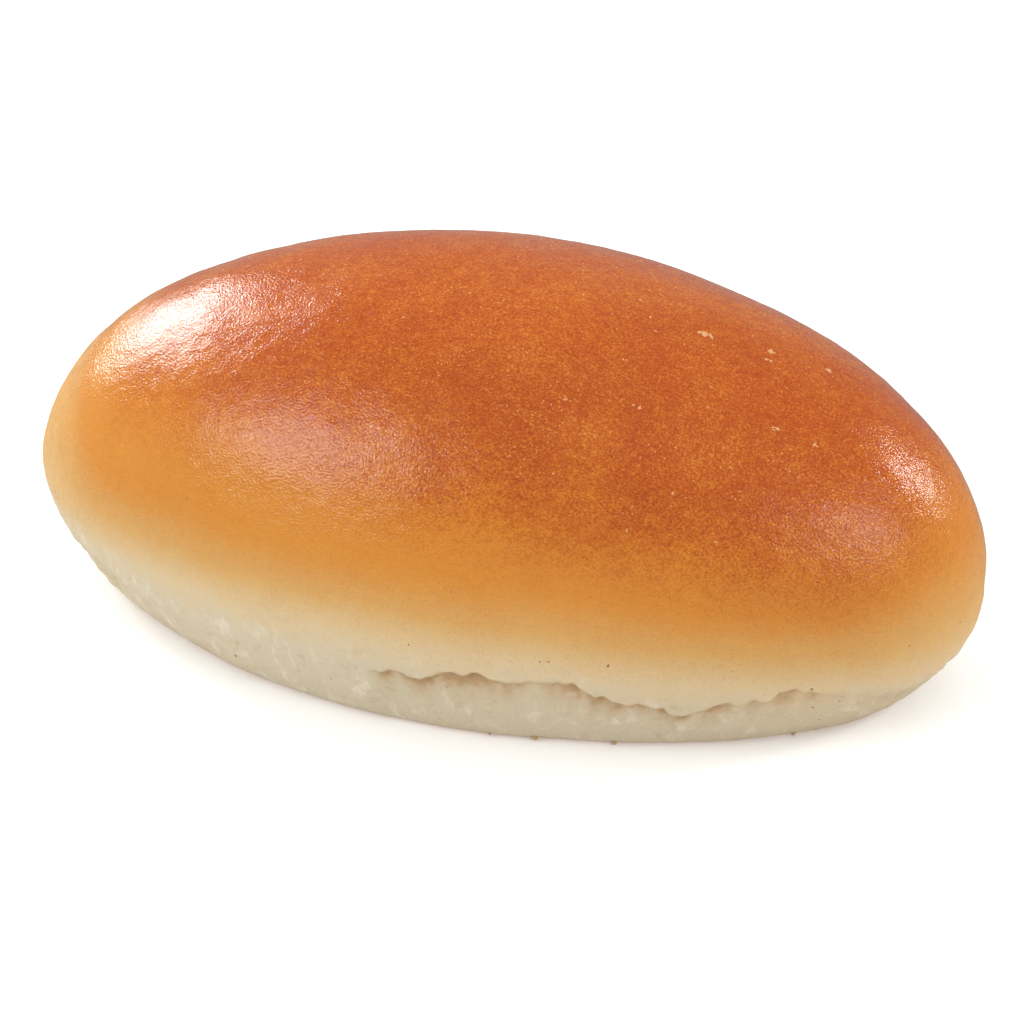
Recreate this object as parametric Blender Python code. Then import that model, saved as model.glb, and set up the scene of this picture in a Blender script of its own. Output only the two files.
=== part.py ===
"""Soft glazed bread roll: one solid loaf with a domed crust, a ragged crust lip and a pale flat foot.

Run with: blender --background --python part.py
Units are metres, +Z is up, and the origin is the middle of the flat foot.
"""

import math

import bmesh
import bpy
import numpy as np

MM = 0.001

# Driving dimensions of the roll.
LENGTH = 125.0 * MM
WIDTH = 68.0 * MM
HEIGHT = 49.5 * MM

# Proportions of the loaf, worked out from the three sizes above.
BELLY_HEIGHT = 0.30 * HEIGHT  # the level where the roll is widest
FLANK_DEPTH = 1.96 * BELLY_HEIGHT  # below the belly the flank follows an ellipse this deep
PLAN_SLIMMING = 0.025  # how far the outline draws in between its ends and its sides
DOME_FULLNESS = 0.006  # how far the dome swells out between its belly and its crown
CROWN_LEAN = 0.065  # the crown leans towards +X, as a share of half the length
END_DROOP = 0.015  # the dome is lower towards +X by this share of its height
END_TAPER = 0.044  # and narrower by this share of its width

# The leaning dome reaches past the belly at +X, so the belly is shorter than LENGTH and set back.
LEAN_REACH = math.hypot(1.0, CROWN_LEAN)
HALF_LENGTH = LENGTH / (1.0 + LEAN_REACH)
SET_BACK = HALF_LENGTH * (LEAN_REACH - 1.0) / 2.0

# The crust ends in a ragged lip above a paler foot that draws in beneath it.
LIP_ROUND = 0.7 * MM  # height over which the lip turns under
FOOT_ROUND = 0.9 * MM  # rounding where the foot meets the tray
FOOT_RECESS = 0.15  # share of the lip's overhang that is left at the tray
FOOT_WAVE = 0.30 * MM  # how far the foot's outline wanders in and out

# The lip's line along the front half: azimuth in degrees, height and overhang in millimetres.
# The back half carries the same line, turned half a turn.
LIP_LINE = (
    (-180, 9.4, 0.6),
    (-144, 10.1, 0.9),
    (-122, 8.8, 0.3),
    (-104, 8.5, 0.2),
    (-93, 10.0, 0.5),
    (-90, 10.6, 0.8),
    (-88, 9.2, 0.9),
    (-86, 11.2, 1.0),
    (-82, 12.0, 0.9),
    (-80, 10.8, 1.0),
    (-75, 12.0, 0.9),
    (-70, 11.6, 0.9),
    (-67, 9.4, 1.1),
    (-62, 9.2, 1.0),
    (-56, 6.9, 0.9),
    (-52, 8.4, 1.0),
    (-44, 9.1, 0.8),
    (-43, 10.8, 0.6),
    (-37, 9.6, 0.8),
    (-31, 8.9, 0.4),
    (-16, 6.2, 0.5),
    (0, 9.4, 0.6),
)

# Mesh density: segments round the roll, and rings for each stretch from the foot's middle to the crown.
SEGMENTS = 132
BASE_RINGS = 4
ROUND_RINGS = 2
SKIRT_RINGS = 5
LIP_RINGS = 3
FLANK_RINGS = 4
DOME_RINGS = 17
STRETCH_RINGS = (BASE_RINGS, ROUND_RINGS, SKIRT_RINGS, LIP_RINGS, FLANK_RINGS, DOME_RINGS)

CRUST_COLOUR = (0.60, 0.23, 0.05, 1.0)
CRUST_ROUGHNESS = 0.35


def clear_scene():
    for obj in list(bpy.data.objects):
        bpy.data.objects.remove(obj, do_unlink=True)


def crust_material():
    material = bpy.data.materials.new("glazed_crust")
    material.use_nodes = True
    shader = material.node_tree.nodes["Principled BSDF"]
    shader.inputs["Base Color"].default_value = CRUST_COLOUR
    shader.inputs["Roughness"].default_value = CRUST_ROUGHNESS
    shader.inputs["Metallic"].default_value = 0.0
    return material


def lip_at(azimuth):
    """Height and overhang of the lip at each azimuth, read from LIP_LINE in metres."""
    half_turn = np.degrees(azimuth) % 180.0 - 180.0
    stations, heights, overhangs = np.array(LIP_LINE).T
    height = np.interp(half_turn, stations, heights) * MM
    overhang = np.interp(half_turn, stations, overhangs) * MM
    return height, overhang


def outline(azimuth, spread):
    """The level outline at a spread of 0 (its middle) to 1 (the belly), and its outward direction."""
    slim = 1.0 - PLAN_SLIMMING * (1.0 - np.cos(4.0 * azimuth)) / 2.0
    x = HALF_LENGTH * spread * slim * np.cos(azimuth)
    y = WIDTH / 2.0 * spread * slim * np.sin(azimuth)
    y = y * (1.0 - END_TAPER * x / HALF_LENGTH)
    out_x = np.cos(azimuth) / LENGTH
    out_y = np.sin(azimuth) / WIDTH
    size = np.hypot(out_x, out_y)
    return x, y, out_x / size, out_y / size


def foot_wander(azimuth):
    """Slow in-and-out wander of the foot's outline, as a sum of three waves."""
    slow = np.sin(5.0 * azimuth + 0.7)
    middling = np.sin(11.0 * azimuth + 2.1)
    quick = np.sin(19.0 * azimuth)
    return FOOT_WAVE * (0.5 * slow + 0.3 * middling + 0.2 * quick)


def flank_spread(height):
    """Below the belly the spread falls along an ellipse whose depth is FLANK_DEPTH."""
    return np.sqrt(1.0 - ((BELLY_HEIGHT - height) / FLANK_DEPTH) ** 2)


def surface_point(azimuth, climb):
    """A point of the roll's skin.

    climb runs 0-1 over the flat base, 1-2 round its edge, 2-3 up the recessed foot, 3-4 out under
    the lip, 4-5 up the flank to the belly and 5-6 over the dome to the crown.
    """
    stretch = [np.clip(climb - start, 0.0, 1.0) for start in range(6)]
    base, edge, skirt, lip, flank, dome = stretch
    quarter = math.pi / 2.0
    lip_height, overhang = lip_at(azimuth)
    groove_height = lip_height - LIP_ROUND

    height = FOOT_ROUND * (1.0 - np.cos(edge * quarter))
    height = height + (groove_height - FOOT_ROUND) * skirt
    height = height + LIP_ROUND * (1.0 - np.cos(lip * quarter))
    height = height + (BELLY_HEIGHT - lip_height) * flank

    inset = overhang * (FOOT_RECESS + (1.0 - FOOT_RECESS) * skirt) * (1.0 - np.sin(lip * quarter))
    inset = inset + foot_wander(azimuth) * (1.0 - skirt)
    inset = inset + FOOT_ROUND * (1.0 - np.sin(edge * quarter))

    rise = dome * quarter
    fullness = 1.0 + DOME_FULLNESS * (1.0 - np.cos(4.0 * rise)) / 2.0
    spread = flank_spread(height) * np.cos(rise) * fullness
    x, y, out_x, out_y = outline(azimuth, spread)
    x = (x - inset * out_x) * base
    y = (y - inset * out_y) * base

    lift = np.sin(rise) * fullness
    droop = 1.0 - END_DROOP * x / HALF_LENGTH
    height = height + (HEIGHT - BELLY_HEIGHT) * lift * droop
    x = x + CROWN_LEAN * HALF_LENGTH * lift - SET_BACK * base
    return np.stack([x, y, height], axis=-1)


def climb_of_ring(ring):
    """Which climb each ring of the sphere stands for, counted from its lower pole."""
    ends = np.concatenate([[0], np.cumsum(STRETCH_RINGS)])
    return np.interp(ring, ends, np.arange(len(ends)))


def make_roll(collection):
    """Shapes a UV sphere into the roll: longitude becomes azimuth, and each ring takes its climb."""
    rings = sum(STRETCH_RINGS)
    shape = bmesh.new()
    bmesh.ops.create_uvsphere(shape, u_segments=SEGMENTS, v_segments=rings, radius=1.0)
    sphere = np.array([vert.co for vert in shape.verts])
    azimuth = np.arctan2(sphere[:, 1], sphere[:, 0])
    latitude = np.arcsin(np.clip(sphere[:, 2], -1.0, 1.0))
    ring = np.rint((latitude / math.pi + 0.5) * rings)
    for vert, point in zip(shape.verts, surface_point(azimuth, climb_of_ring(ring))):
        vert.co = point
    bmesh.ops.triangulate(shape, faces=shape.faces[:])
    bmesh.ops.recalc_face_normals(shape, faces=shape.faces[:])

    mesh = bpy.data.meshes.new("bread_roll")
    shape.to_mesh(mesh)
    shape.free()
    mesh.shade_smooth()
    mesh.materials.append(crust_material())
    roll = bpy.data.objects.new("bread_roll", mesh)
    collection.objects.link(roll)
    return roll


def main():
    clear_scene()
    collection = bpy.data.collections.new("bread_roll")
    bpy.context.scene.collection.children.link(collection)
    make_roll(collection)


main()
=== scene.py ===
"""Bread roll: a glazed oval roll with a browned dome, a ragged crust lip and a pale floury foot."""

import math

import bpy
import numpy as np
from bpy.props import FloatProperty, FloatVectorProperty, IntProperty, PointerProperty
from bpy.types import Operator, Panel, PropertyGroup
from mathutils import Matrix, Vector


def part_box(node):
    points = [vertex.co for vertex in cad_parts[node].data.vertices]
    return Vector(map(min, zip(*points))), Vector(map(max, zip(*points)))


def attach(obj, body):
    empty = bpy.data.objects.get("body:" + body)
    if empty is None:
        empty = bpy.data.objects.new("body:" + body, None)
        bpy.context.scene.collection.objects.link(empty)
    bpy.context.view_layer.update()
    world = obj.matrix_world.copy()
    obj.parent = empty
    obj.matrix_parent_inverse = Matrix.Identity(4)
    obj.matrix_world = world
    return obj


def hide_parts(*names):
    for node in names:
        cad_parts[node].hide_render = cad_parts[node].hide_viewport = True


bl_info = {
    "name": "Bread Roll",
    "version": (1, 0, 0),
    "blender": (4, 5, 0),
    "location": "3D View > Sidebar > Bread Roll",
    "description": "Makes a glazed oval bread roll with its flakes and crumbs, and a studio to show it in",
    "category": "Add Mesh",
}

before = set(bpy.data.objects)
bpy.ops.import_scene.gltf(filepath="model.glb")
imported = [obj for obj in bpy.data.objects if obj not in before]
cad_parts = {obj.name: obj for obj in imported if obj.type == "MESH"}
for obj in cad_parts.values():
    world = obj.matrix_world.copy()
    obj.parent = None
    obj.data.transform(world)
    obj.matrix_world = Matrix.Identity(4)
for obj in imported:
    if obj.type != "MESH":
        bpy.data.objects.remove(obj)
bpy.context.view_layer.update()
ROLL_LOW, ROLL_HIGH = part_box("bread_roll")

MM = 0.001
QUARTER = math.pi / 2.0

# The roll's own sizes come from its part in model.glb.
LENGTH = ROLL_HIGH.x - ROLL_LOW.x
WIDTH = ROLL_HIGH.y - ROLL_LOW.y
HEIGHT = ROLL_HIGH.z - ROLL_LOW.z

# Proportions of the loaf.
BELLY_HEIGHT = 0.30 * HEIGHT
FLANK_DEPTH = 1.96 * BELLY_HEIGHT
PLAN_SLIMMING = 0.025
DOME_FULLNESS = 0.006
CROWN_LEAN = 0.065
END_DROOP = 0.015
END_TAPER = 0.044
LEAN_REACH = math.hypot(1.0, CROWN_LEAN)
HALF_LENGTH = LENGTH / (1.0 + LEAN_REACH)
SET_BACK = HALF_LENGTH * (LEAN_REACH - 1.0) / 2.0

# The flat foot: its rounded edge, the share of the lip's overhang left at the tray, and its wander.
FOOT_ROUND = 0.9 * MM
FOOT_RECESS = 0.15
FOOT_WAVE = 0.30 * MM

# The skin's columns stand closest together at this azimuth, drawn there by this many radians.
FRONT_AZIMUTH = math.radians(-70.0)
COLUMN_PULL = 0.45

# Rows of the skin's grid in each stretch of climb, from the foot's middle to the crown.
ROWS_IN_STRETCH = (7, 5, 30, 12, 10, 112)
CROWN_CLIMB = 6.0

# The step of azimuth and of climb over which the skin's slope is measured.
PROBE_STEP = 0.004

# How many sine waves make up one ripple.
RIPPLE_WAVES = 24

# The lip's line along the front half: azimuth in degrees, then height, overhang and the height over
# which it turns under, in millimetres. The back half carries the same line, turned half a turn.
LIP_LINE = (
    (-180, 9.4, 0.5, 1.5),
    (-144, 10.1, 0.8, 3.0),
    (-122, 8.8, 0.1, 2.5),
    (-104, 8.5, 0.0, 2.0),
    (-95, 9.9, 0.0, 1.2),
    (-93, 10.0, 0.4, 0.8),
    (-90, 10.6, 0.9, 0.6),
    (-88, 9.2, 0.7, 0.7),
    (-86, 11.2, 0.7, 0.7),
    (-82, 12.0, 0.9, 0.7),
    (-80, 10.8, 0.7, 0.7),
    (-75, 12.0, 0.4, 0.9),
    (-70, 11.6, 0.6, 0.8),
    (-67, 9.4, 1.0, 0.6),
    (-62, 9.2, 0.4, 0.9),
    (-56, 6.9, 0.9, 0.7),
    (-52, 8.4, 0.6, 0.7),
    (-44, 9.1, 0.4, 0.8),
    (-43, 10.8, 0.6, 0.7),
    (-37, 9.6, 0.5, 0.8),
    (-31, 8.9, 0.1, 1.4),
    (-16, 6.2, 0.5, 1.8),
    (0, 9.4, 0.5, 1.5),
)

# Flakes that stand out on the crown: azimuth in degrees, climb, and length in millimetres.
CROWN_FLAKES = (
    (-15, 5.74, 2.4),
    (-5, 5.66, 1.6),
    (-10, 5.65, 1.3),
    (2, 5.58, 1.9),
    (-53, 5.70, 0.9),
    (-31, 5.52, 1.2),
    (-26, 5.47, 1.0),
    (-71, 5.60, 0.8),
)

# Specks that stand out low on the front: azimuth in degrees, climb, and length in millimetres.
FRONT_SPECKS = (
    (-115, 2.62, 0.7),
    (-114, 2.36, 0.4),
    (-123, 5.18, 0.5),
    (-128, 5.18, 0.4),
    (-85, 2.76, 0.4),
    (-38, 3.94, 0.5),
    (-36, 2.70, 0.5),
    (-66, 4.92, 0.7),
    (-74, 4.84, 0.5),
    (-73, 4.88, 0.5),
)

# Burrs of crust squeezed out along the tray edge: azimuth in degrees and length in millimetres.
TRAY_BURRS = (
    (-80, 0.9),
    (-74, 1.2),
    (-63, 1.2),
    (-34, 0.9),
    (12, 1.1),
    (57, 0.9),
    (98, 1.2),
    (131, 1.0),
)
BURR_CLIMB = 1.75
TRAY_CLEARANCE = 0.02 * MM

# Each standing flake is broken into splinters. They stray by these degrees and this climb for each
# millimetre of the flake, and their sizes lie between these shares of it.
SPLINTERS = 5
SPLINTER_TURN = 0.55
SPLINTER_CLIMB = 0.0035
SPLINTER_SIZES = (0.22, 0.55)

# Climbs and sizes between which the stray flakes and specks lie.
FLAKE_CLIMBS = (5.2, 5.95)
FLAKE_SIZES = (0.12 * MM, 0.6 * MM)
SPECK_CLIMBS = (2.2, 5.4)
SPECK_SIZES = (0.14 * MM, 0.4 * MM)

# A chip's outline has this many corners. Its upper ring stands at this share of its outline and of
# its height, and its keel hangs down by this share of its height.
CHIP_CORNERS = 8
SHOULDER_WIDTH = 0.6
SHOULDER_HEIGHT = 0.8
KEEL_DEPTH = 0.5

# The darker grain of a crumb, as a share of its colour.
DARK_GRAIN = 0.72


def srgb(red, green, blue):
    """A colour given on the display's 0-255 scale, turned to linear light."""
    shares = np.array([red, green, blue]) / 255.0
    linear = np.where(shares <= 0.04045, shares / 12.92, ((shares + 0.055) / 1.055) ** 2.4)
    return tuple(float(share) for share in linear)


def colour_property(name, description, colour):
    """A colour setting with its default in linear light."""
    return FloatVectorProperty(
        name=name, description=description, default=colour, size=3, min=0.0, max=1.0, subtype="COLOR"
    )


def length_property(name, description, metres):
    """A length setting in metres."""
    return FloatProperty(
        name=name, description=description, default=metres, min=0.0, precision=5, unit="LENGTH",
        subtype="DISTANCE",
    )


def factor_property(name, description, share, highest=1.0):
    """A setting between nothing and its highest value."""
    return FloatProperty(
        name=name, description=description, default=share, min=0.0, max=highest, subtype="FACTOR"
    )


class RollShape(PropertyGroup):
    """Sizes of the skin's relief."""

    segments: IntProperty(
        name="Segments", description="Points round the roll", default=512, min=24, subtype="UNSIGNED"
    )
    swell: length_property("Swell", "Height of the slow swells of the dome", 0.08 * MM)
    dimples: length_property("Dimples", "Height of the small dimples of the crust", 0.012 * MM)
    foot_lumps: length_property("Foot lumps", "Height of the lumps on the floury foot", 0.09 * MM)
    raggedness: length_property("Raggedness", "How far the lip's edge strays up and down", 0.30 * MM)


class CrustLook(PropertyGroup):
    """Colours and gloss of the crust, from the tray up to the crown."""

    tray_brown: colour_property("Tray brown", "Baked underside and its edge", srgb(192, 150, 104))
    foot: colour_property("Foot", "Pale skin below the lip", srgb(201, 189, 162))
    flour: colour_property("Flour", "Floury patches on the foot", srgb(222, 213, 194))
    # Painted shade in the fold under the lip; also the colour of the foot's stains and grain.
    fold_shade_and_stain: colour_property("Fold", "Inside of the fold under the lip", srgb(180, 148, 108))
    cream: colour_property("Cream", "Skin just above the lip", srgb(209, 188, 148))
    straw: colour_property("Straw", "First browning above the cream", srgb(209, 165, 92))
    gold: colour_property("Gold", "Golden flank", srgb(208, 137, 50))
    amber: colour_property("Amber", "Amber shoulder", srgb(202, 121, 34))
    brown: colour_property("Brown", "Red-brown crown", srgb(189, 94, 25))
    deep_brown: colour_property("Deep brown", "Darkest mottles of the crown", srgb(164, 66, 16))
    spark: colour_property("Spark", "Tiny light dots in the browned crust", srgb(215, 138, 44))
    # Painted highlight: tiny glaze blisters are painted as light glints in this colour.
    painted_glint: colour_property("Glint", "Tiny blisters in the glaze", srgb(242, 190, 108))
    bump: length_property("Bump", "Height of the finest skin texture", 0.075 * MM)
    glaze_roughness: factor_property("Glaze roughness", "Roughness of the glazed crust", 0.17)
    foot_roughness: factor_property("Foot roughness", "Roughness of the floury foot", 0.85)


class CrumbShape(PropertyGroup):
    """Numbers and colours of the small things on the crust."""

    flakes: IntProperty(
        name="Flakes", description="Stray pale flakes on the dome", default=260, min=0
    )
    specks: IntProperty(
        name="Specks", description="Stray brown specks on the pale band", default=260, min=0
    )
    flake_colour: colour_property("Flake colour", "Dry flakes on the crown", srgb(224, 164, 114))
    speck_colour: colour_property("Speck colour", "Baked specks", srgb(164, 106, 60))
    burr_colour: colour_property("Burr colour", "Burrs along the tray edge", srgb(198, 164, 120))


class StageLook(PropertyGroup):
    """Camera, floor and lamps."""

    camera_azimuth: FloatProperty(
        name="Camera azimuth", description="Camera's turn from the front", default=math.radians(20.9),
        subtype="ANGLE",
    )
    camera_elevation: FloatProperty(
        name="Camera elevation", description="Camera's height angle", default=math.radians(30.0),
        subtype="ANGLE",
    )
    camera_distance: length_property("Camera distance", "Camera's distance from the roll", 0.55)
    lens: FloatProperty(name="Lens", description="Focal length in millimetres", default=152.5, min=1.0)
    floor_colour: colour_property("Floor", "Plain pale floor", (0.85, 0.85, 0.85))
    floor_glow: factor_property("Floor glow", "Light given off by the floor, a light table", 0.24)
    lamp_strength: factor_property("Lamps", "Strength of all lamps together", 1.0, 4.0)
    room_strength: factor_property("Room", "Strength of the white room", 0.37, 4.0)


# --- The roll's surface ---------------------------------------------------------------------------


def ripple(points, wavelength, seed):
    """Smooth random relief with a spread of about 1.

    A sum of plane sine waves that run in random directions, at 0.75 to 1.3 of the wavelength, over
    the root of half their number.
    """
    draw = np.random.default_rng(seed)
    directions = draw.normal(size=(RIPPLE_WAVES, 3))
    directions /= np.linalg.norm(directions, axis=1, keepdims=True)
    pace = 2.0 * math.pi / (wavelength * draw.uniform(0.75, 1.3, size=(RIPPLE_WAVES, 1)))
    phase = draw.uniform(0.0, 2.0 * math.pi, size=RIPPLE_WAVES)
    waves = np.sin(points @ (directions * pace).T + phase)
    return waves.sum(axis=-1) / math.sqrt(RIPPLE_WAVES / 2.0)


def smooth_step(value, low, high):
    """0 below low, 1 above high, and an S-shaped cubic between them."""
    share = np.clip((value - low) / (high - low), 0.0, 1.0)
    return share * share * (3.0 - 2.0 * share)


def belly_point(azimuth):
    """Points of the widest outline, where patterns that run round the roll are read."""
    x = HALF_LENGTH * np.cos(azimuth)
    y = WIDTH / 2.0 * np.sin(azimuth)
    return np.stack([x, y, np.full_like(x, BELLY_HEIGHT)], axis=-1)


def lip_at(azimuth, raggedness):
    """Height, overhang and rounding of the lip.

    All three run straight between LIP_LINE's stations. Ripples vary the overhang, and tear the
    height up and down where the lip is sharp, which is where its overhang is near its rounding.
    """
    half_turn = np.degrees(azimuth) % 180.0 - 180.0
    stations, heights, overhangs, roundings = np.array(LIP_LINE).T
    place = belly_point(azimuth)
    tear = 0.6 * ripple(place, 4.5 * MM, seed=3) + 0.6 * ripple(place, 1.7 * MM, seed=4)
    overhang = np.interp(half_turn, stations, overhangs) * MM
    overhang = overhang * np.maximum(1.0 + 0.3 * ripple(place, 2.8 * MM, seed=5), 0.2)
    rounding = np.interp(half_turn, stations, roundings) * MM
    sharpness = smooth_step(overhang / rounding, 0.1, 0.9)
    height = np.interp(half_turn, stations, heights) * MM + raggedness * tear * sharpness
    return height, overhang, rounding


def outline(azimuth, spread):
    """Level outline at a spread of 0 (its middle) to 1 (the belly), and its outward direction.

    An ellipse drawn in a little between its ends and its sides, and tapered towards +X.
    """
    slim = 1.0 - PLAN_SLIMMING * (1.0 - np.cos(4.0 * azimuth)) / 2.0
    x = HALF_LENGTH * spread * slim * np.cos(azimuth)
    y = WIDTH / 2.0 * spread * slim * np.sin(azimuth)
    y = y * (1.0 - END_TAPER * x / HALF_LENGTH)
    out_x = np.cos(azimuth) / LENGTH
    out_y = np.sin(azimuth) / WIDTH
    size = np.hypot(out_x, out_y)
    return x, y, out_x / size, out_y / size


def foot_wander(azimuth):
    """Slow in-and-out wander of the foot's outline, as a sum of three waves."""
    slow = np.sin(5.0 * azimuth + 0.7)
    middling = np.sin(11.0 * azimuth + 2.1)
    quick = np.sin(19.0 * azimuth)
    return FOOT_WAVE * (0.5 * slow + 0.3 * middling + 0.2 * quick)


def roll_surface(azimuth, climb, raggedness):
    """Points of the smooth roll, and the weight of the painted shade in the fold under the lip.

    climb runs 0-1 over the flat base, 1-2 round its edge, 2-3 up the recessed foot, 3-4 out under
    the lip, 4-5 up the flank to the belly and 5-6 over the dome to the crown. Below the belly the
    outline's size follows an ellipse, above it a quarter wave. The lip turns under in a quarter
    wave. The foot draws in towards it by the overhang times the third power of its climb. The
    painted shade in the fold weighs overhang over rounding times the fourth power of its climb.
    """
    base, edge, skirt, lip, flank, dome = [np.clip(climb - start, 0.0, 1.0) for start in range(6)]
    lip_height, overhang, rounding = lip_at(azimuth, raggedness)
    groove_height = lip_height - rounding

    height = FOOT_ROUND * (1.0 - np.cos(edge * QUARTER))
    height = height + (groove_height - FOOT_ROUND) * skirt
    height = height + rounding * (1.0 - np.cos(lip * QUARTER))
    height = height + (BELLY_HEIGHT - lip_height) * flank

    under_lip = 1.0 - np.sin(lip * QUARTER)
    inset = overhang * (FOOT_RECESS + (1.0 - FOOT_RECESS) * skirt**3) * under_lip
    inset = inset + foot_wander(azimuth) * (1.0 - skirt)
    inset = inset + FOOT_ROUND * (1.0 - np.sin(edge * QUARTER))

    rise = dome * QUARTER
    fullness = 1.0 + DOME_FULLNESS * (1.0 - np.cos(4.0 * rise)) / 2.0
    spread = np.sqrt(1.0 - ((BELLY_HEIGHT - height) / FLANK_DEPTH) ** 2) * np.cos(rise) * fullness
    x, y, out_x, out_y = outline(azimuth, spread)
    x = (x - inset * out_x) * base
    y = (y - inset * out_y) * base

    lift = np.sin(rise) * fullness
    droop = 1.0 - END_DROOP * x / HALF_LENGTH
    height = height + (HEIGHT - BELLY_HEIGHT) * lift * droop
    x = x + CROWN_LEAN * HALF_LENGTH * lift - SET_BACK * base
    # Weight of the painted shade in the fold under the lip.
    fold_shade_and_stain = np.clip(overhang / rounding, 0.0, 1.3) * skirt**4 * np.sqrt(under_lip)
    return np.stack([x, y, height], axis=-1), fold_shade_and_stain


def relief(points, climb, shape):
    """Height of the lumps that stand on the smooth skin.

    The dome has slow swells and small dimples, and the foot has lumps of two sizes and half the
    swells. All are sums of ripples. They fade out round the tray edge, so that the base stays flat.
    """
    crust = smooth_step(climb, 3.6, 4.6)
    foot = smooth_step(climb, 1.9, 2.2) * (1.0 - crust)
    broad, narrow = ripple(points, 21.0 * MM, seed=11), ripple(points, 8.0 * MM, seed=12)
    swell = shape.swell * (broad + 0.35 * narrow)
    dimples = shape.dimples * ripple(points, 2.2 * MM, seed=13)
    upright = points * np.array([1.0, 1.0, 0.6])
    coarse, fine = ripple(upright, 6.0 * MM, seed=14), ripple(points, 2.4 * MM, seed=15)
    lumps = shape.foot_lumps * (coarse + 0.5 * fine)
    return crust * (swell + dimples) + foot * (lumps + 0.5 * swell)


def grid_normals(points):
    """Outward normals of a grid that closes round its first axis and climbs along its second."""
    round_it = np.roll(points, -1, axis=0) - np.roll(points, 1, axis=0)
    up_it = np.gradient(points, axis=1)
    normals = np.cross(round_it, up_it)
    sizes = np.linalg.norm(normals, axis=-1, keepdims=True)
    return normals / np.maximum(sizes, 1e-12)


def closed_grid_faces(columns, rows):
    """Faces of a grid that closes round its columns and ends in a pole below and a pole above.

    Vertex numbers run up each column in turn, and the two poles come last.
    """
    column = np.arange(columns)[:, None]
    following = (column + 1) % columns
    row = np.arange(rows - 1)[None, :]
    here, beside = column * rows + row, following * rows + row
    quads = np.stack([here, beside, beside + 1, here + 1], axis=-1).reshape(-1, 4)
    first, after = column[:, 0], following[:, 0]
    low_pole = np.full(columns, columns * rows)
    high_pole = low_pole + 1
    bottom = np.stack([after * rows, first * rows, low_pole], axis=-1)
    top = np.stack([first * rows + rows - 1, after * rows + rows - 1, high_pole], axis=-1)
    return quads.tolist() + bottom.tolist() + top.tolist()


def add_piece(name, vertices, faces, material):
    """Makes a smooth mesh object at the origin that rides on the roll's body."""
    mesh = bpy.data.meshes.new(name)
    mesh.from_pydata(vertices, [], faces)
    mesh.shade_smooth()
    mesh.materials.append(material)
    piece = bpy.data.objects.new(name, mesh)
    bpy.context.scene.collection.objects.link(piece)
    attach(piece, "root")
    return piece


def column_azimuths(count):
    """Azimuth of each column: even steps, drawn towards the front by a sine wave."""
    even = np.linspace(-math.pi, math.pi, count, endpoint=False)
    return even - COLUMN_PULL * np.sin(even - FRONT_AZIMUTH)


def climb_rows():
    """Climb of each row of the skin: even steps within each stretch, without the two poles."""
    stretches = [
        start + np.arange(1, count + 1) / count for start, count in enumerate(ROWS_IN_STRETCH)
    ]
    return np.concatenate(stretches)[:-1]


def skin_frame(azimuth, climb, shape):
    """Points on the finished skin, with the outward normal and the tangent round the roll at each.

    Both directions are differences of the smooth surface over a small step to either side.
    """

    def smooth(turn, rise):
        points, _ = roll_surface(turn, rise, shape.raggedness)
        return points

    points = smooth(azimuth, climb)
    round_it = smooth(azimuth + PROBE_STEP, climb) - smooth(azimuth - PROBE_STEP, climb)
    up_it = smooth(azimuth, climb + PROBE_STEP) - smooth(azimuth, climb - PROBE_STEP)
    normal = np.cross(round_it, up_it)
    normal /= np.linalg.norm(normal, axis=-1, keepdims=True)
    tangent = round_it / np.linalg.norm(round_it, axis=-1, keepdims=True)
    points = points + normal * relief(points, climb, shape)[..., None]
    return points, normal, tangent


# --- Materials ------------------------------------------------------------------------------------


class Signal:
    """A number that varies over a surface. Python arithmetic on it adds Math nodes."""

    def __init__(self, look, socket):
        self.look = look
        self.socket = socket

    def math(self, operation, *operands, clamp=False):
        """Adds a Math node on the given signals and numbers."""
        settings = {"operation": operation, "use_clamp": clamp}
        return self.look.node("ShaderNodeMath", settings, dict(enumerate(operands)))

    def __add__(self, other):
        return self.math("ADD", self, other)

    __radd__ = __add__

    def __sub__(self, other):
        return self.math("SUBTRACT", self, other)

    def __rsub__(self, other):
        return self.math("SUBTRACT", other, self)

    def __mul__(self, other):
        return self.math("MULTIPLY", self, other)

    __rmul__ = __mul__

    def between(self, low, high):
        """0 up to low and 1 past high, S-shaped between them. With low above high it falls instead."""
        share = self.math("DIVIDE", self - low, high - low, clamp=True)
        return share * share * (3.0 - 2.0 * share)


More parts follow.
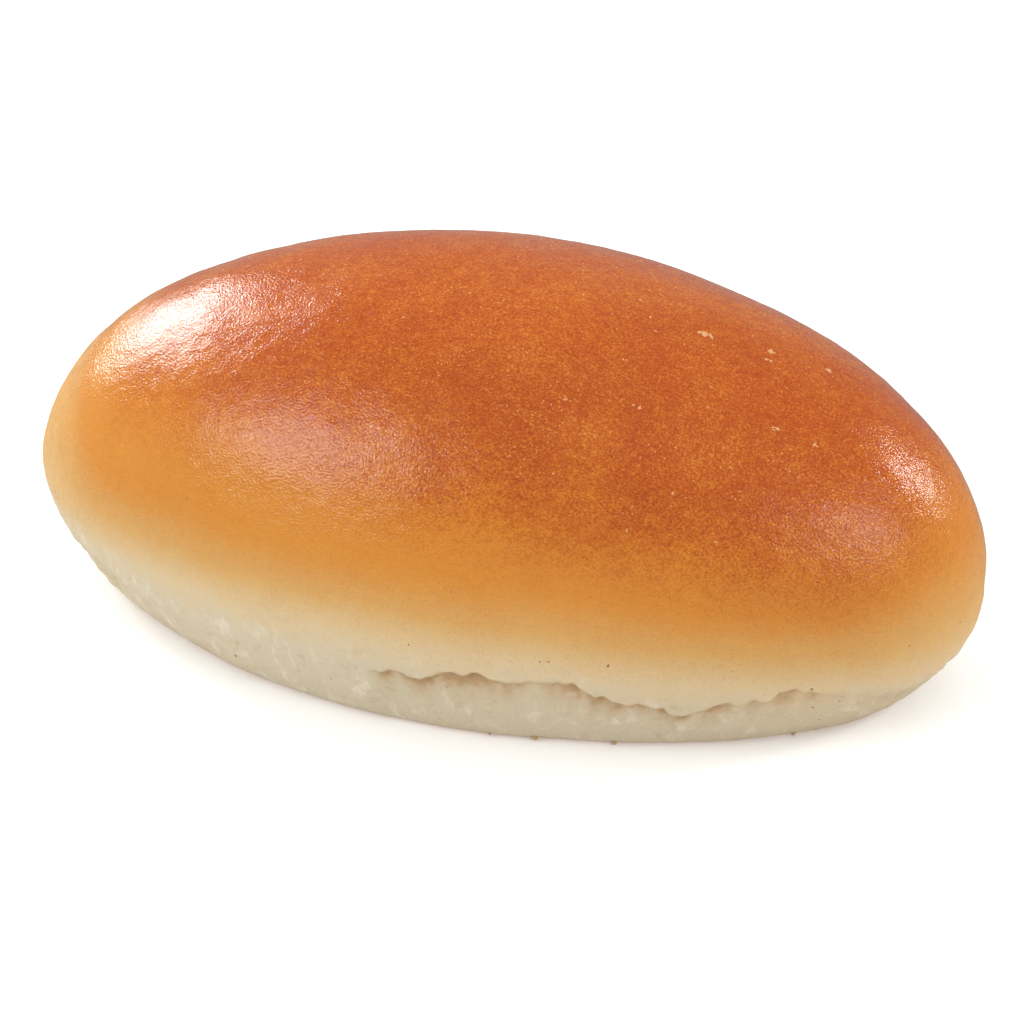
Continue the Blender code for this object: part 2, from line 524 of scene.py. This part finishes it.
class Look:
    """One material's node tree, built up from signals and colours."""

    def __init__(self, name):
        self.material = bpy.data.materials.new(name)
        self.material.use_nodes = True
        self.tree = self.material.node_tree
        self.shader = self.tree.nodes["Principled BSDF"]

    def feed(self, socket, value):
        """Links a signal to a socket, or sets a plain number or colour on it."""
        if isinstance(value, Signal):
            self.tree.links.new(value.socket, socket)
        elif hasattr(value, "__len__") and len(value) == 3 and socket.type == "RGBA":
            socket.default_value = (*value, 1.0)
        else:
            socket.default_value = value

    def node(self, kind, settings=None, inputs=None, output=0):
        """Adds a node: its settings first, then its inputs. Gives one of its outputs as a signal."""
        made = self.tree.nodes.new(kind)
        for name, setting in (settings or {}).items():
            setattr(made, name, setting)
        for name, value in (inputs or {}).items():
            self.feed(made.inputs[name], value)
        return Signal(self, made.outputs[output])

    def place(self, stretch=(1.0, 1.0, 1.0)):
        """Object coordinates in millimetres over stretch, which lengthens a pattern along each axis."""
        coordinates = self.node("ShaderNodeTexCoord", output="Object")
        scale = tuple(1000.0 / share for share in stretch)
        return self.node("ShaderNodeVectorMath", {"operation": "MULTIPLY"}, {0: coordinates, 1: scale})

    def axis(self, name):
        """One of the Object coordinates, in millimetres."""
        return self.node("ShaderNodeSeparateXYZ", inputs={0: self.place()}, output=name)

    def noise(self, size, detail=2.0, roughness=0.5, stretch=(1.0, 1.0, 1.0)):
        """Soft noise about 0, at most 0.5 either way, whose lumps are size millimetres apart."""
        inputs = {
            "Vector": self.place(stretch),
            "Scale": 1.0 / size,
            "Detail": detail,
            "Roughness": roughness,
        }
        return self.node("ShaderNodeTexNoise", inputs=inputs) - 0.5

    def dots(self, spacing, radius):
        """1 in the middle of scattered dots, 0 beyond their radius. Lengths are in millimetres."""
        inputs = {"Vector": self.place(), "Scale": 1.0 / spacing, "Randomness": 1.0}
        distance = self.node("ShaderNodeTexVoronoi", {"feature": "F1"}, inputs, output="Distance")
        return distance.between(radius / spacing, 0.3 * radius / spacing)

    def blend(self, low, high, factor):
        """Mixes two colours: low at a factor of 0 and below, high at 1 and above."""
        settings = {"data_type": "RGBA", "clamp_factor": True}
        return self.node("ShaderNodeMix", settings, {0: factor, 6: low, 7: high}, output=2)

    def surface(self, **inputs):
        """Sets the shader's own sockets; underscores stand for spaces."""
        for name, value in inputs.items():
            self.feed(self.shader.inputs[name.replace("_", " ")], value)


def crust_look(settings):
    """The roll's skin: browning by height, mottles, flour below the lip, and an uneven glaze.

    Bands are given in millimetres: of height, with slow drift, or of place along the roll.
    """
    look = Look("glazed_crust")
    height = look.axis("Z")
    along = look.axis("X")

    # Browning reaches lower towards both ends, most at +X, while the tips are drawn back to straw.
    drift = 3.0 * look.noise(22.0, detail=1.0) + 1.6 * look.noise(3.0, detail=4.0, roughness=0.7)
    low_end = along.between(12.0, 60.0)
    # Partly paler baking, partly a painted reflection of the sheen along the tips' edges.
    pale_tips_and_sheen = 1.25 * along.between(-44.0, -57.0) + 0.75 * along.between(48.0, 62.0)
    baking = height + drift + 4.5 * low_end + 2.0 * along.between(-32.0, -48.0)
    baking = baking + (17.0 - baking) * pale_tips_and_sheen * 0.6
    toasting = baking + 0.07 * along
    colour = look.blend(settings.cream, settings.straw, baking.between(12.5, 19.5))
    colour = look.blend(colour, settings.gold, baking.between(16.0, 25.0))
    colour = look.blend(colour, settings.amber, toasting.between(23.0, 34.0))
    colour = look.blend(colour, settings.brown, toasting.between(29.0, 41.0))

    # Mottles, from fine grain to broad patches, which weaken down the flank.
    grain = look.noise(0.25, detail=2.0, roughness=0.8, stretch=(1.3, 1.0, 1.0))
    mottle = look.noise(1.1, detail=3.0, roughness=0.7, stretch=(1.5, 1.0, 1.0))
    patches = look.noise(9.0, detail=1.0)
    tone = grain * 4.0 + mottle * 1.4 + patches * 0.8
    browned = 0.15 + 0.85 * toasting.between(23.0, 38.0)
    colour = look.blend(colour, settings.deep_brown, (0.35 - tone) * browned)
    colour = look.blend(colour, settings.spark, (tone - 0.2) * browned)
    # Tiny blisters on the browned glaze, painted light as glints: painted highlights.
    painted_glints = look.dots(0.6, 0.13) * look.noise(5.0, detail=2.0).between(-0.05, 0.15)
    colour = look.blend(colour, settings.painted_glint, painted_glints * toasting.between(28.0, 40.0) * 0.7)

    # The foot: pale skin with flour, stains and grain.
    below_lip = (height + 3.0 * look.noise(6.0) + 4.5 * low_end).between(14.0, 8.5)
    colour = look.blend(colour, settings.foot, below_lip)
    flour = look.noise(2.6, detail=5.0, roughness=0.6, stretch=(0.8, 0.8, 1.5)).between(0.02, 0.22)
    colour = look.blend(colour, settings.flour, flour * below_lip * 0.7)
    stain = look.noise(2.2, detail=5.0, roughness=0.7).between(0.04, 0.22)
    colour = look.blend(colour, settings.fold_shade_and_stain, stain * below_lip * 0.4)
    colour = look.blend(colour, settings.fold_shade_and_stain, (grain + 0.05 + 0.3 * low_end) * below_lip * 0.9)

    # The painted shade in the fold under the lip, and the brown edge that touches the tray.
    fold_shade_and_stain = look.node("ShaderNodeAttribute", {"attribute_name": "fold_shade_and_stain"}, output="Fac")
    colour = look.blend(colour, settings.fold_shade_and_stain, fold_shade_and_stain * (1.15 + 2.0 * look.noise(1.2)))
    tray_edge = (height + 0.8 * look.noise(1.5)).between(0.8, 0.2)
    colour = look.blend(colour, settings.tray_brown, tray_edge)

    # The glaze thins out down the flank.
    glazed = (baking + 6.0 * look.noise(2.0)).between(12.0, 24.0)
    gloss_patches = look.noise(7.0, detail=3.0) * 0.12
    roughness = settings.foot_roughness + (settings.glaze_roughness - settings.foot_roughness) * glazed
    pores = look.noise(0.27, detail=1.0, stretch=(1.2, 1.0, 1.0))
    wrinkles = look.noise(0.9, detail=0.0, stretch=(1.3, 1.0, 1.0))
    skin = pores * (0.35 + 0.65 * glazed) + wrinkles * 0.35
    bumped = look.node(
        "ShaderNodeBump", inputs={"Strength": 1.0, "Distance": settings.bump, "Height": skin}
    )

    look.surface(
        Base_Color=colour,
        Roughness=roughness + gloss_patches * glazed,
        Normal=bumped,
        Subsurface_Weight=0.12,
        Subsurface_Scale=2.0 * MM,
        Subsurface_Radius=(1.0, 0.5, 0.25),
    )
    return look.material


def crumb_look(name, colour, size):
    """Dry matt crumb, with darker and rougher grain of the given size in millimetres."""
    look = Look(name)
    grain = look.noise(size, detail=2.0)
    darker = tuple(DARK_GRAIN * share for share in colour)
    look.surface(Base_Color=look.blend(colour, darker, grain + 0.4), Roughness=0.62 + grain * 0.3)
    return look.material


# --- Small things on the crust --------------------------------------------------------------------


def chip_pieces(azimuth, climb, size, plumpness, sink, seed, shape):
    """Vertices and faces of closed chips that lie on the skin.

    Each chip is a low lens: a rim on an uneven outline, a narrower ring above it, an apex and a keel.
    The apex stands up by plumpness times the chip's size, and the whole is sunk by sink times it.
    """
    draw = np.random.default_rng(seed)
    count, corners = len(azimuth), CHIP_CORNERS
    points, normal, tangent = skin_frame(azimuth, climb, shape)
    cross = np.cross(normal, tangent)
    turn = draw.uniform(0.0, 2.0 * math.pi, count)
    slimness = draw.uniform(0.35, 0.9, count)
    long_way = tangent * np.cos(turn)[:, None] + cross * np.sin(turn)[:, None]
    short_way = np.cross(normal, long_way) * slimness[:, None]

    angle = np.arange(corners) * 2.0 * math.pi / corners
    reach = draw.uniform(0.7, 1.15, (count, corners)) * size[:, None] / 2.0
    lift = plumpness * size
    along = reach * np.cos(angle)
    across = reach * np.sin(angle)

    def ring(share, height):
        lengthwise = long_way[:, None, :] * (share * along)[..., None]
        flat = lengthwise + short_way[:, None, :] * (share * across)[..., None]
        return points[:, None, :] + flat + normal[:, None, :] * height[:, None, None]

    rim = ring(1.0, -sink * size)
    shoulder = ring(SHOULDER_WIDTH, lift * SHOULDER_HEIGHT - sink * size)
    apex = (points + normal * (lift - sink * size)[:, None])[:, None, :]
    keel = (points - normal * (KEEL_DEPTH * lift + sink * size)[:, None])[:, None, :]
    vertices = np.concatenate([rim, shoulder, apex, keel], axis=1)

    first = np.arange(corners)
    after = (first + 1) % corners
    apex_number, keel_number = 2 * corners, 2 * corners + 1
    side = np.stack([first, after, after + corners, first + corners], axis=-1)
    cap = np.stack([first + corners, after + corners, np.full(corners, apex_number)], axis=-1)
    belly = np.stack([after, first, np.full(corners, keel_number)], axis=-1)
    offset = np.arange(count)[:, None, None] * (2 * corners + 2)
    faces = []
    for group in (side, cap, belly):
        faces += (group[None] + offset).reshape(-1, group.shape[1]).tolist()
    return vertices.reshape(-1, 3), faces


def scatter_on_band(count, low_climb, high_climb, smallest, largest, seed):
    """Random azimuths, climbs and sizes. A size is a cubed draw, so large ones are rare."""
    draw = np.random.default_rng(seed)
    azimuth = draw.uniform(-math.pi, math.pi, count)
    climb = draw.uniform(low_climb, high_climb, count)
    size = smallest + (largest - smallest) * draw.uniform(0.0, 1.0, count) ** 3
    return azimuth, climb, size


def splintered(stations, seed):
    """Breaks each flake (degrees, climb, millimetres) into splinters strewn round its place."""
    draw = np.random.default_rng(seed)
    degrees, climb, size = np.repeat(np.array(stations, dtype=float), SPLINTERS, axis=0).T
    degrees = degrees + SPLINTER_TURN * size * draw.uniform(-1.0, 1.0, len(size))
    climb = climb + SPLINTER_CLIMB * size * draw.uniform(-1.0, 1.0, len(size))
    return np.stack([degrees, climb, size * draw.uniform(*SPLINTER_SIZES, len(size))], axis=-1)


def joined(stations, scattered):
    """Listed stations (degrees, climb, millimetres) followed by scattered ones."""
    degrees, climb, size = np.array(stations, dtype=float).T
    placed = (np.radians(degrees), climb, size * MM)
    return [np.concatenate(pair) for pair in zip(placed, scattered)]


# --- Operators ------------------------------------------------------------------------------------


class BREADROLL_OT_skin(Operator):
    """Make the roll's skin"""

    bl_idname = "breadroll.skin"
    bl_label = "Roll skin"

    def execute(self, context):
        shape = context.scene.roll_shape
        azimuth = column_azimuths(shape.segments)
        turn, climb = np.meshgrid(azimuth, climb_rows(), indexing="ij")
        points, fold_shade_and_stain = roll_surface(turn, climb, shape.raggedness)
        points = points + grid_normals(points) * relief(points, climb, shape)[..., None]
        columns, rows = turn.shape
        crown, _ = roll_surface(np.zeros(1), np.full(1, CROWN_CLIMB), shape.raggedness)
        crown[:, 2] = points[:, -1, 2].mean()
        base_middle = np.zeros((1, 3))
        vertices = np.concatenate([points.reshape(-1, 3), base_middle, crown])
        skin = add_piece(
            "roll_skin", vertices, closed_grid_faces(columns, rows), crust_look(context.scene.crust_look)
        )
        # The painted fold shade's weight goes on the skin's points for its material.
        depth = np.concatenate([fold_shade_and_stain.ravel(), np.zeros(2)])
        skin.data.attributes.new("fold_shade_and_stain", "FLOAT", "POINT").data.foreach_set("value", depth)
        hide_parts("bread_roll")
        return {"FINISHED"}


class BREADROLL_OT_flakes(Operator):
    """Scatter dry pale flakes on the dome"""

    bl_idname = "breadroll.flakes"
    bl_label = "Crust flakes"

    def execute(self, context):
        crumbs = context.scene.crumb_shape
        scattered = scatter_on_band(crumbs.flakes, *FLAKE_CLIMBS, *FLAKE_SIZES, seed=21)
        azimuth, climb, size = joined(splintered(CROWN_FLAKES, seed=23), scattered)
        vertices, faces = chip_pieces(
            azimuth, climb, size, plumpness=0.06, sink=0.02, seed=22, shape=context.scene.roll_shape
        )
        add_piece("crust_flakes", vertices, faces, crumb_look("dry_flake", crumbs.flake_colour, 0.3))
        return {"FINISHED"}


class BREADROLL_OT_specks(Operator):
    """Scatter small baked specks on the pale band"""

    bl_idname = "breadroll.specks"
    bl_label = "Baked specks"

    def execute(self, context):
        crumbs = context.scene.crumb_shape
        scattered = scatter_on_band(crumbs.specks, *SPECK_CLIMBS, *SPECK_SIZES, seed=31)
        azimuth, climb, size = joined(FRONT_SPECKS, scattered)
        vertices, faces = chip_pieces(
            azimuth, climb, size, plumpness=0.12, sink=0.05, seed=32, shape=context.scene.roll_shape
        )
        add_piece("baked_specks", vertices, faces, crumb_look("baked_speck", crumbs.speck_colour, 0.2))
        return {"FINISHED"}


class BREADROLL_OT_burrs(Operator):
    """Set small burrs of crust along the tray edge"""

    bl_idname = "breadroll.burrs"
    bl_label = "Tray burrs"

    def execute(self, context):
        crumbs = context.scene.crumb_shape
        degrees, length = np.array(TRAY_BURRS, dtype=float).T
        azimuth, climb, size = np.radians(degrees), np.full(len(degrees), BURR_CLIMB), length * MM
        vertices, faces = chip_pieces(
            azimuth, climb, size, plumpness=0.35, sink=0.0, seed=42, shape=context.scene.roll_shape
        )
        vertices[:, 2] = np.maximum(vertices[:, 2], TRAY_CLEARANCE)
        add_piece("tray_burrs", vertices, faces, crumb_look("burr_crust", crumbs.burr_colour, 0.4))
        return {"FINISHED"}


class BREADROLL_OT_stage(Operator):
    """Set up the floor, the white room, the lamps and the camera"""

    bl_idname = "breadroll.stage"
    bl_label = "Stage"

    def execute(self, context):
        stage = context.scene.stage_look
        make_floor(stage)
        make_room(context.scene, stage)
        make_lamps(stage)
        make_camera(context.scene, stage)
        context.scene.view_settings.view_transform = "Standard"
        return {"FINISHED"}


def direction(azimuth, elevation):
    """Unit vector towards a place round the roll. Azimuth 0 is the front, and it grows towards +X."""
    level = math.cos(elevation)
    return np.array([math.sin(azimuth) * level, -math.cos(azimuth) * level, math.sin(elevation)])


def aim(thing, place, target):
    """Puts a lamp or a camera at a place, looking at a target."""
    thing.location = place
    back = Vector(place) - Vector(target)
    thing.rotation_euler = back.to_track_quat("Z", "Y").to_euler()


FLOOR_REACH = 3.0


def make_floor(stage):
    """A large square sheet that the roll lies on."""
    reach = FLOOR_REACH
    corners = [(-reach, -reach, 0.0), (reach, -reach, 0.0), (reach, reach, 0.0), (-reach, reach, 0.0)]
    mesh = bpy.data.meshes.new("floor")
    mesh.from_pydata(corners, [], [(0, 1, 2, 3)])
    look = Look("pale_floor")
    look.surface(Base_Color=tuple(stage.floor_colour), Roughness=0.8, Specular_IOR_Level=0.2)
    look.surface(Emission_Color=(1.0, 1.0, 1.0), Emission_Strength=stage.floor_glow)
    mesh.materials.append(look.material)
    floor = bpy.data.objects.new("floor", mesh)
    bpy.context.scene.collection.objects.link(floor)
    floor.visible_glossy = False


def make_room(scene, stage):
    """An even, dim white room."""
    world = bpy.data.worlds.new("white_room")
    world.use_nodes = True
    background = world.node_tree.nodes["Background"]
    background.inputs["Color"].default_value = (1.0, 1.0, 1.0, 1.0)
    background.inputs["Strength"].default_value = stage.room_strength
    scene.world = world


# Soft lamps: turn from the camera and height in degrees, width and depth in metres, brightness.
LAMPS = (
    ("back_left_softbox", -138, 21, 0.30, 0.32, 16.0),
    ("front_left_softbox", -69, 32, 0.47, 0.29, 5.8),
    ("back_right_strip", 101, 27, 0.13, 0.24, 26.0),
    ("front_right_softbox", 48, 24, 0.22, 0.36, 5.2),
)
LAMP_DISTANCE = 0.9

# A wide overhead scrim, which lights the crust but isn't mirrored in it.
SCRIM_SIZE = 1.8
SCRIM_HEIGHT = 1.2
SCRIM_BRIGHTNESS = 1.2


def add_lamp(name, place, width, depth, brightness):
    """A white rectangular lamp that faces the roll. Its power is brightness times area times pi."""
    data = bpy.data.lights.new(name, "AREA")
    data.shape = "RECTANGLE"
    data.size = width
    data.size_y = depth
    data.energy = brightness * width * depth * math.pi
    data.color = (1.0, 1.0, 1.0)
    lamp = bpy.data.objects.new(name, data)
    bpy.context.scene.collection.objects.link(lamp)
    aim(lamp, place, (0.0, 0.0, HEIGHT / 2.0))
    return lamp


def make_lamps(stage):
    """The softboxes round the roll and the scrim above it."""
    for name, turn, height, width, depth, brightness in LAMPS:
        towards = direction(stage.camera_azimuth + math.radians(turn), math.radians(height))
        add_lamp(name, towards * LAMP_DISTANCE, width, depth, brightness * stage.lamp_strength)
    overhead = (0.0, 0.0, SCRIM_HEIGHT)
    scrim_brightness = SCRIM_BRIGHTNESS * stage.lamp_strength
    scrim = add_lamp("overhead_scrim", overhead, SCRIM_SIZE, SCRIM_SIZE, scrim_brightness)
    scrim.visible_glossy = False


# The point that the camera's axis passes through, near the roll's middle.
AIM_POINT = (0.8 * MM, 1.1 * MM, 13.8 * MM)


def make_camera(scene, stage):
    """A long lens that looks down on the roll's front."""
    data = bpy.data.cameras.new("camera")
    data.lens = stage.lens
    camera = bpy.data.objects.new("camera", data)
    scene.collection.objects.link(camera)
    towards = direction(stage.camera_azimuth, stage.camera_elevation)
    aim(camera, np.array(AIM_POINT) + towards * stage.camera_distance, AIM_POINT)
    data.clip_start = 0.01
    data.clip_end = 20.0
    scene.camera = camera


class BREADROLL_PT_sidebar(Panel):
    """Lists the roll's settings and the steps that make it"""

    bl_label = "Bread Roll"
    bl_idname = "BREADROLL_PT_sidebar"
    bl_space_type = "VIEW_3D"
    bl_region_type = "UI"
    bl_category = "Bread Roll"

    def draw(self, context):
        for group in SETTINGS:
            box = self.layout.box()
            settings = getattr(context.scene, group)
            for name in settings.bl_rna.properties.keys():
                if name not in {"rna_type", "name"}:
                    box.prop(settings, name)
        for operator in OPERATORS:
            self.layout.operator(operator.bl_idname)


SETTINGS = {
    "roll_shape": RollShape,
    "crust_look": CrustLook,
    "crumb_shape": CrumbShape,
    "stage_look": StageLook,
}
OPERATORS = (
    BREADROLL_OT_skin,
    BREADROLL_OT_flakes,
    BREADROLL_OT_specks,
    BREADROLL_OT_burrs,
    BREADROLL_OT_stage,
)


def register():
    for group in SETTINGS.values():
        bpy.utils.register_class(group)
    for name, group in SETTINGS.items():
        setattr(bpy.types.Scene, name, PointerProperty(type=group))
    for operator in OPERATORS:
        bpy.utils.register_class(operator)
    bpy.utils.register_class(BREADROLL_PT_sidebar)


def unregister():
    bpy.utils.unregister_class(BREADROLL_PT_sidebar)
    for operator in reversed(OPERATORS):
        bpy.utils.unregister_class(operator)
    for name in SETTINGS:
        delattr(bpy.types.Scene, name)
    for group in SETTINGS.values():
        bpy.utils.unregister_class(group)


def main():
    register()
    bpy.ops.breadroll.skin()
    bpy.ops.breadroll.flakes()
    bpy.ops.breadroll.specks()
    bpy.ops.breadroll.burrs()
    bpy.ops.breadroll.stage()


if __name__ == "__main__":
    main()
